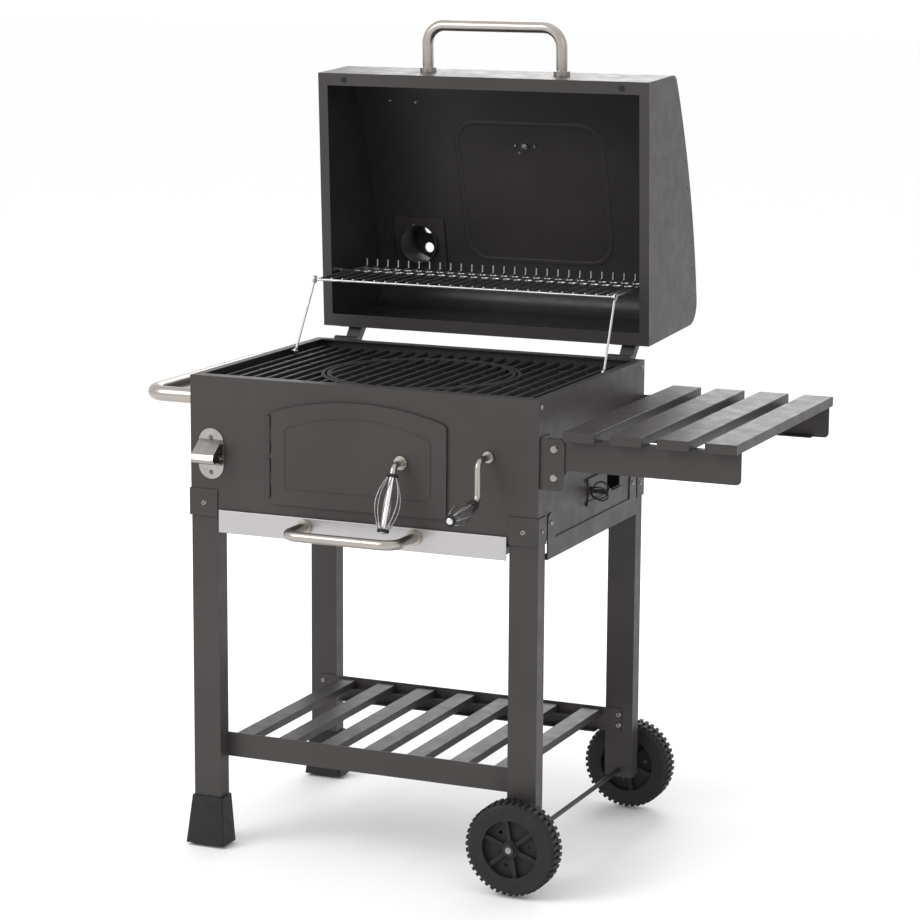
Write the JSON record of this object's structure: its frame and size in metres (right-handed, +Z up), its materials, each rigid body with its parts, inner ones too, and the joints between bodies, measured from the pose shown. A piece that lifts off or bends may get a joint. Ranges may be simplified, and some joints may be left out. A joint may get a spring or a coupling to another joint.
{
  "type": "charcoal trolley grill",
  "caption": "Charcoal grill on a wheeled trolley: hinged lid with warming rack, firebox with front door, crank-lifted charcoal pan, ash drawer, folding side shelf and slatted lower shelf.",
  "frame": {"origin": "middle of the bounding box, on the floor", "axes": "+Z up, +X towards the side shelf, +Y towards the lid hinges (back)"},
  "size_m": [1.0225, 0.9236, 1.3204],
  "materials": {
    "painted_steel": "satin anthracite powder coat",
    "cast_iron": "matte black enamelled cast iron",
    "enamel_black": "black enamel",
    "brushed_steel": "brushed stainless",
    "chrome": "bright plated wire and fasteners",
    "black_plastic": "moulded black plastic",
    "rubber": "matte"
  },
  "bodies": {
    "frame": {"firebox_front": "painted_steel", "firebox_rear": "painted_steel", "firebox_left": "painted_steel", "firebox_right": "painted_steel", "firebox_floor": "painted_steel", "leg_front_left": "painted_steel", "leg_front_right": "painted_steel", "leg_rear_left": "painted_steel", "leg_rear_right": "painted_steel", "feet": "black_plastic", "side_rails": "painted_steel", "corner_brackets": "painted_steel", "lower_shelf_rails": "painted_steel", "lower_shelf_slats": "painted_steel", "axle": "enamel_black", "side_handle": "brushed_steel", "bottle_opener": "chrome", "door_hinges": "painted_steel", "lift_guides": "painted_steel", "grate_left": "cast_iron", "grate_right": "cast_iron", "grate_supports": "painted_steel", "drawer_runners": "painted_steel", "shelf_brackets": "painted_steel", "damper_guides": "painted_steel", "lid_hinge_brackets": "painted_steel", "lid_hinge_pins": "chrome", "frame_bolts": "chrome", "frame_screws": "painted_steel"},
    "lid": {"lid_cover": "painted_steel", "lid_left": "painted_steel", "lid_right": "painted_steel", "lid_rim": "painted_steel", "lid_handle": "brushed_steel", "lid_hinge_leaves": "painted_steel", "lid_bumpers": "rubber", "lid_screws": "chrome", "rack_bushes": "chrome", "chimney_tube": "painted_steel", "chimney_flange": "painted_steel", "thermometer": "brushed_steel"},
    "chimney_cap": {"chimney_damper": "painted_steel"},
    "rack": {"warming_rack": "chrome"},
    "links": {"rack_links": "chrome"},
    "door": {"door_panel": "painted_steel"},
    "latch": {"door_latch_rod": "brushed_steel", "door_grip": "chrome"},
    "crank": {"crank_shaft": "brushed_steel", "crank_grip": "chrome"},
    "pan": {"charcoal_pan": "enamel_black"},
    "drawer": {"drawer_tray": "enamel_black", "drawer_front": "brushed_steel", "drawer_handle": "brushed_steel"},
    "shelf": {"shelf_arms": "painted_steel", "shelf_slats": "painted_steel"},
    "vent_left": {"damper_left": "painted_steel"},
    "vent_right": {"damper_right": "painted_steel"},
    "insert": {"grate_insert": "cast_iron"},
    "front_wheel": {"wheel_front": "black_plastic"},
    "rear_wheel": {"wheel_rear": "black_plastic"}
  },
  "joints": [
    {"name": "lid_hinge", "type": "hinge", "parent": "frame", "child": "lid", "pos_m": [-0.10875, 0.16666, 0.767], "axis": [1, 0, 0], "range_deg": [0, 87.2]},
    {"name": "chimney_damper_turn", "type": "hinge", "parent": "lid", "child": "chimney_cap", "pos_m": [-0.32375, 0.45652, 0.92034], "axis": [0, 0.9988, 0.0489], "range_deg": [0, 60]},
    {"name": "rack_level", "type": "hinge", "parent": "lid", "child": "rack", "pos_m": [-0.10875, 0.22366, 0.884], "axis": [1, 0, 0], "range_deg": [-91.1, 0]},
    {"name": "rack_link_swing", "type": "hinge", "parent": "frame", "child": "links", "pos_m": [-0.10875, 0.02166, 0.769], "axis": [1, 0, 0], "range_deg": [0, 85.9]},
    {"name": "door_hinge", "type": "hinge", "parent": "frame", "child": "door", "pos_m": [-0.26725, -0.31454, 0.653], "axis": [0, 0, -1], "range_deg": [0, 110]},
    {"name": "latch_turn", "type": "hinge", "parent": "door", "child": "latch", "pos_m": [-0.03675, -0.31634, 0.661], "axis": [0, 1, 0], "range_deg": [0, 90]},
    {"name": "pan_lift", "type": "slide", "parent": "frame", "child": "pan", "axis": [0, 0, 1], "range_m": [0, 0.0507]},
    {"name": "crank_turn", "type": "hinge", "parent": "frame", "child": "crank", "pos_m": [0.10875, -0.31634, 0.681], "axis": [0, 1, 0], "range_deg": [0, 50.01]},
    {"name": "drawer_slide", "type": "slide", "parent": "frame", "child": "drawer", "axis": [0, -1, 0], "range_m": [0, 0.34]},
    {"name": "shelf_fold", "type": "hinge", "parent": "frame", "child": "shelf", "pos_m": [0.21425, -0.07834, 0.656], "axis": [0, 1, 0], "range_deg": [0, 90]},
    {"name": "damper_left_slide", "type": "slide", "parent": "frame", "child": "vent_left", "axis": [0, 1, 0], "range_m": [0, 0.072]},
    {"name": "damper_right_slide", "type": "slide", "parent": "frame", "child": "vent_right", "axis": [0, 1, 0], "range_m": [0, 0.072]},
    {"name": "insert_lift", "type": "slide", "parent": "frame", "child": "insert", "axis": [0, 0, 1], "range_m": [0, 0.045]},
    {"name": "front_wheel_spin", "type": "hinge", "parent": "frame", "child": "front_wheel", "pos_m": [0.16725, -0.33734, 0.075], "axis": [0, 1, 0], "continuous": true},
    {"name": "rear_wheel_spin", "type": "hinge", "parent": "frame", "child": "rear_wheel", "pos_m": [0.16725, 0.18066, 0.075], "axis": [0, 1, 0], "continuous": true}
  ],
  "couplings": [
    {"joint": "rack_level", "follows": "lid_hinge", "ratio": -1.0436},
    {"joint": "rack_link_swing", "follows": "lid_hinge", "ratio": 0.98458},
    {"joint": "crank_turn", "follows": "pan_lift", "rad_per_m": 17.212}
  ]
}
